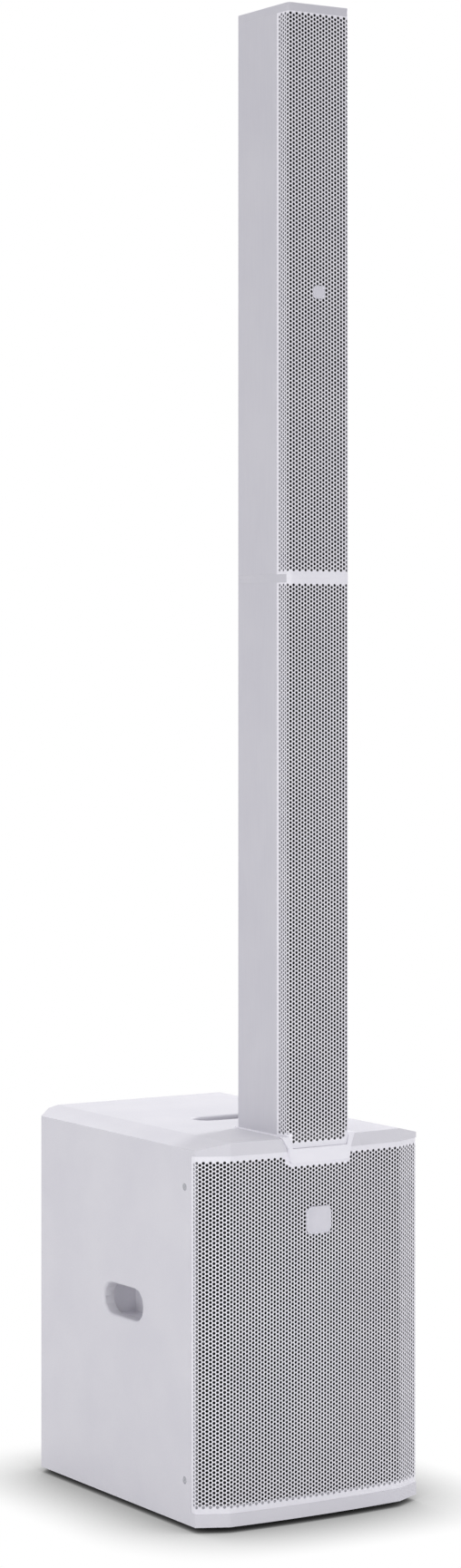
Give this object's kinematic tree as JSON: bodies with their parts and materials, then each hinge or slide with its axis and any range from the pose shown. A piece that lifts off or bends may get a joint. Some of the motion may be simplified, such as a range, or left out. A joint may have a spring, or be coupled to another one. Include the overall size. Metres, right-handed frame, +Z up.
{
  "type": "column pa system",
  "caption": "White column PA: a slim stacked line-array column with perforated grilles, docked in the top of a subwoofer box with hand holes and a rear amplifier.",
  "frame": {"origin": "on the floor, under the middle of the whole object's box", "axes": "+Z up along the column, front faces -Y, +X to the right seen from the front"},
  "size_m": [0.35, 0.468, 2],
  "materials": {
    "cabinet_paint": "white textured paint on plywood",
    "baffle_plywood": "black stained plywood",
    "grille_steel": "white powder coat",
    "grille_foam": "black open-cell foam",
    "column_aluminium": "white powder coat",
    "white_plastic": "satin moulded",
    "handle_plastic": "fine moulded texture",
    "foot_rubber": "matt",
    "screw_steel": "zinc plated",
    "basket_aluminium": "black painted casting",
    "surround_rubber": "matt",
    "cone_paper": "pressed black pulp",
    "coil_aluminium": "plain",
    "spider_cloth": "resin-dipped cloth",
    "motor_steel": "zinc plated",
    "magnet_ferrite": "sintered ferrite",
    "black_plastic": "moulded",
    "driver_metal": "black",
    "panel_aluminium": "black anodised",
    "sink_aluminium": "extruded",
    "circuit_board": "solder mask",
    "display_window": "smoked window",
    "knob_plastic": "soft touch"
  },
  "bodies": {
    "subwoofer": {"sub_cabinet": "cabinet_paint", "sub_baffle": "baffle_plywood", "sub_grille": "grille_steel", "sub_grille_foam": "grille_foam", "column_dock": "white_plastic", "handle_cup_left": "handle_plastic", "handle_cup_right": "handle_plastic", "handle_cup_top": "handle_plastic", "foot_front_left": "foot_rubber", "foot_front_right": "foot_rubber", "foot_rear_left": "foot_rubber", "foot_rear_right": "foot_rubber", "side_screw_left_bottom": "screw_steel", "side_screw_left_top": "screw_steel", "side_screw_right_bottom": "screw_steel", "side_screw_right_top": "screw_steel", "woofer_basket": "basket_aluminium", "woofer_surround": "surround_rubber", "woofer_spider": "spider_cloth", "woofer_top_plate": "motor_steel", "woofer_yoke": "motor_steel", "woofer_magnet": "magnet_ferrite", "port_tube_left": "black_plastic", "port_tube_right": "black_plastic", "dock_socket": "black_plastic", "input_jack_1": "black_plastic", "input_jack_2": "black_plastic", "power_inlet": "black_plastic", "amp_panel": "panel_aluminium", "amp_heatsink": "sink_aluminium", "amp_board": "circuit_board", "amp_display": "display_window"},
    "woofer_motion": {"woofer_cone": "cone_paper", "woofer_dust_cap": "cone_paper", "woofer_voice_coil": "coil_aluminium"},
    "channel_1_knob": {"channel_1_knob": "knob_plastic"},
    "main_knob": {"main_knob": "knob_plastic"},
    "channel_2_knob": {"channel_2_knob": "knob_plastic"},
    "power_rocker": {"power_rocker": "black_plastic"},
    "lower_column": {"lower_grille": "grille_steel", "lower_foam": "grille_foam", "lower_housing": "column_aluminium", "lower_bottom_cap": "white_plastic", "lower_top_cap": "white_plastic", "lower_baffle": "black_plastic", "lower_driver_1": "driver_metal", "lower_driver_2": "driver_metal", "lower_driver_3": "driver_metal", "lower_driver_4": "driver_metal"},
    "upper_column": {"upper_grille": "grille_steel", "upper_foam": "grille_foam", "upper_housing": "column_aluminium", "upper_bottom_cap": "white_plastic", "upper_top_cap": "white_plastic", "upper_baffle": "black_plastic", "upper_driver_1": "driver_metal", "upper_driver_2": "driver_metal", "upper_driver_3": "driver_metal", "upper_driver_4": "driver_metal", "upper_tweeter": "driver_metal"}
  },
  "joints": [
    {"name": "lower_column_lift", "type": "slide", "parent": "subwoofer", "child": "lower_column", "axis": [0, 0, 1], "range_m": [0, 0.12]},
    {"name": "upper_column_lift", "type": "slide", "parent": "lower_column", "child": "upper_column", "axis": [0, 0, 1], "range_m": [0, 0.12]},
    {"name": "woofer_stroke", "type": "slide", "parent": "subwoofer", "child": "woofer_motion", "axis": [0, -1, 0], "range_m": [-0.006, 0.006], "stiffness_N_per_m": 3000, "deforming": ["woofer_surround", "woofer_spider"]},
    {"name": "channel_1_knob_turn", "type": "hinge", "parent": "subwoofer", "child": "channel_1_knob", "pos_m": [-0.06, 0.2153, 0.333], "axis": [0, 1, 0], "range_deg": [-150, 150]},
    {"name": "main_knob_turn", "type": "hinge", "parent": "subwoofer", "child": "main_knob", "pos_m": [0, 0.2153, 0.333], "axis": [0, 1, 0], "range_deg": [-150, 150]},
    {"name": "channel_2_knob_turn", "type": "hinge", "parent": "subwoofer", "child": "channel_2_knob", "pos_m": [0.06, 0.2153, 0.333], "axis": [0, 1, 0], "range_deg": [-150, 150]},
    {"name": "power_rocker_tip", "type": "hinge", "parent": "subwoofer", "child": "power_rocker", "pos_m": [0.075, 0.2131, 0.1615], "axis": [1, 0, 0], "range_deg": [-14, 0]}
  ]
}
